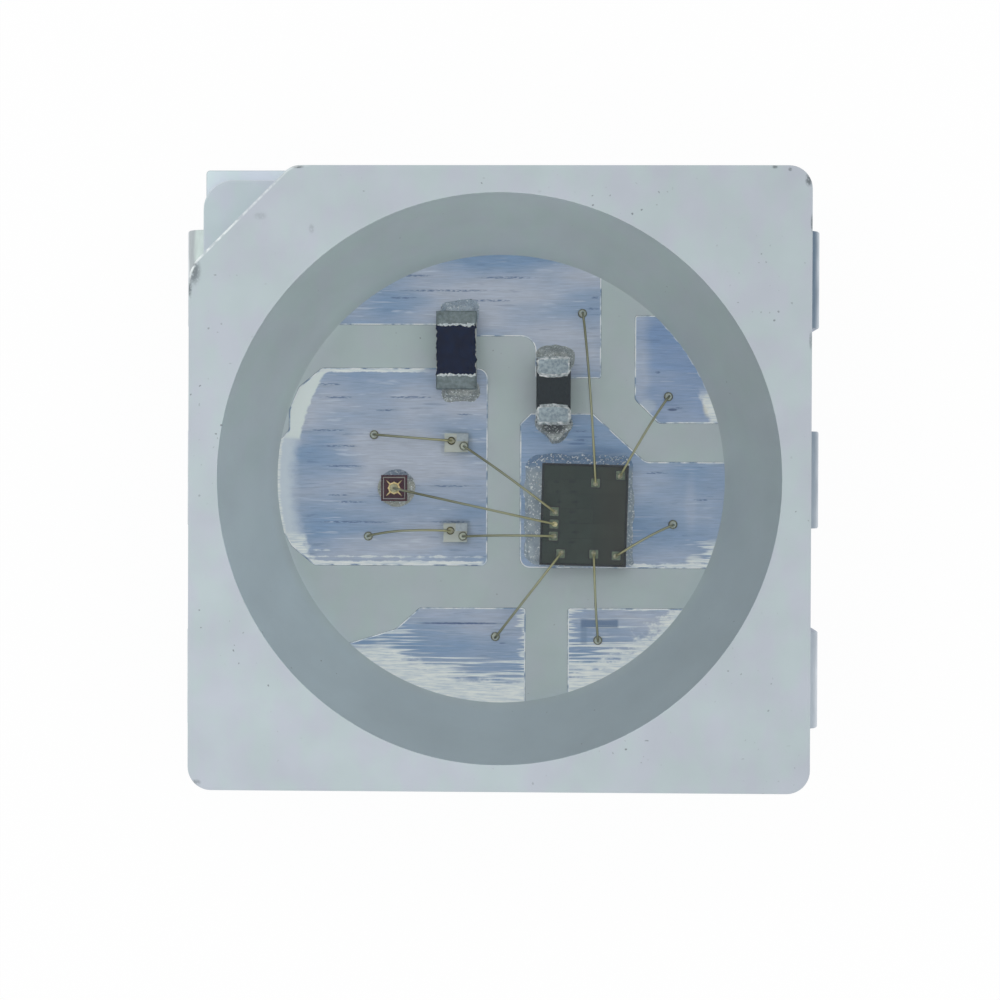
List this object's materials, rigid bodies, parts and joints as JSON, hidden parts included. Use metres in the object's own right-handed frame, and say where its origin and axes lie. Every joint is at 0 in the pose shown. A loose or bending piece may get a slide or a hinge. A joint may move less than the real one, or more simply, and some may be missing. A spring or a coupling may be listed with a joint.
{
  "type": "surface-mount LED",
  "caption": "Square surface-mount LED: red, green and blue chips, a driver chip, a resistor and a capacitor on silver leads under clear resin in a white body.",
  "frame": {"origin": "middle of the body at the seating plane, where the lead feet meet the board", "axes": "+Z out of the light-emitting face, +X towards the right-hand leads and +Y towards the cut corner's side, so that the cut corner is at -X +Y"},
  "size_m": [0.0052, 0.005, 0.0016],
  "materials": {
    "white_moulding": "matt, moulded",
    "clear_resin": "clear, smooth",
    "silver_plating": "silver-plated copper alloy, fine rolling streaks",
    "gold": "bright gold",
    "pad_metal": "bright bond metal",
    "silver_adhesive": "grainy, silver-filled",
    "clear_adhesive": "clear",
    "red_chip": "polished compound semiconductor",
    "clear_chip": "polished sapphire",
    "silicon": "polished silicon with faint circuit blocks",
    "alumina": "white ceramic",
    "resistor_overcoat": "smooth dark overcoat",
    "tin_plating": "matt tin",
    "capacitor_ceramic": "fired ceramic"
  },
  "bodies": {
    "root": {"housing": "white_moulding", "encapsulant": "clear_resin", "red_die": "red_chip", "red_die_electrode": "gold", "red_die_attach": "silver_adhesive", "green_die": "clear_chip", "green_die_contacts": "gold", "green_die_attach": "clear_adhesive", "blue_die": "clear_chip", "blue_die_contacts": "gold", "blue_die_attach": "clear_adhesive", "driver_die": "silicon", "driver_bond_pads": "pad_metal", "driver_die_attach": "silver_adhesive", "resistor_body": "alumina", "resistor_coat": "resistor_overcoat", "resistor_terminal_upper": "tin_plating", "resistor_terminal_lower": "tin_plating", "capacitor_body": "capacitor_ceramic", "capacitor_terminal_upper": "tin_plating", "capacitor_terminal_lower": "tin_plating", "resistor_joint_upper": "silver_adhesive", "resistor_joint_lower": "silver_adhesive", "capacitor_joint_upper": "silver_adhesive", "capacitor_joint_lower": "silver_adhesive", "lead_upper_left": "silver_plating", "lead_middle_left": "silver_plating", "lead_lower_left": "silver_plating", "lead_upper_right": "silver_plating", "lead_middle_right": "silver_plating", "lead_lower_right": "silver_plating", "wire_green_die_to_plate": "gold", "wire_green_die_to_driver": "gold", "wire_blue_die_to_plate": "gold", "wire_blue_die_to_driver": "gold", "wire_red_die_to_driver": "gold", "wire_supply_lead_to_driver": "gold", "wire_output_lead_to_driver": "gold", "wire_ground_lead_to_driver": "gold", "wire_backup_lead_to_driver": "gold", "wire_input_lead_to_driver": "gold"}
  },
  "joints": []
}
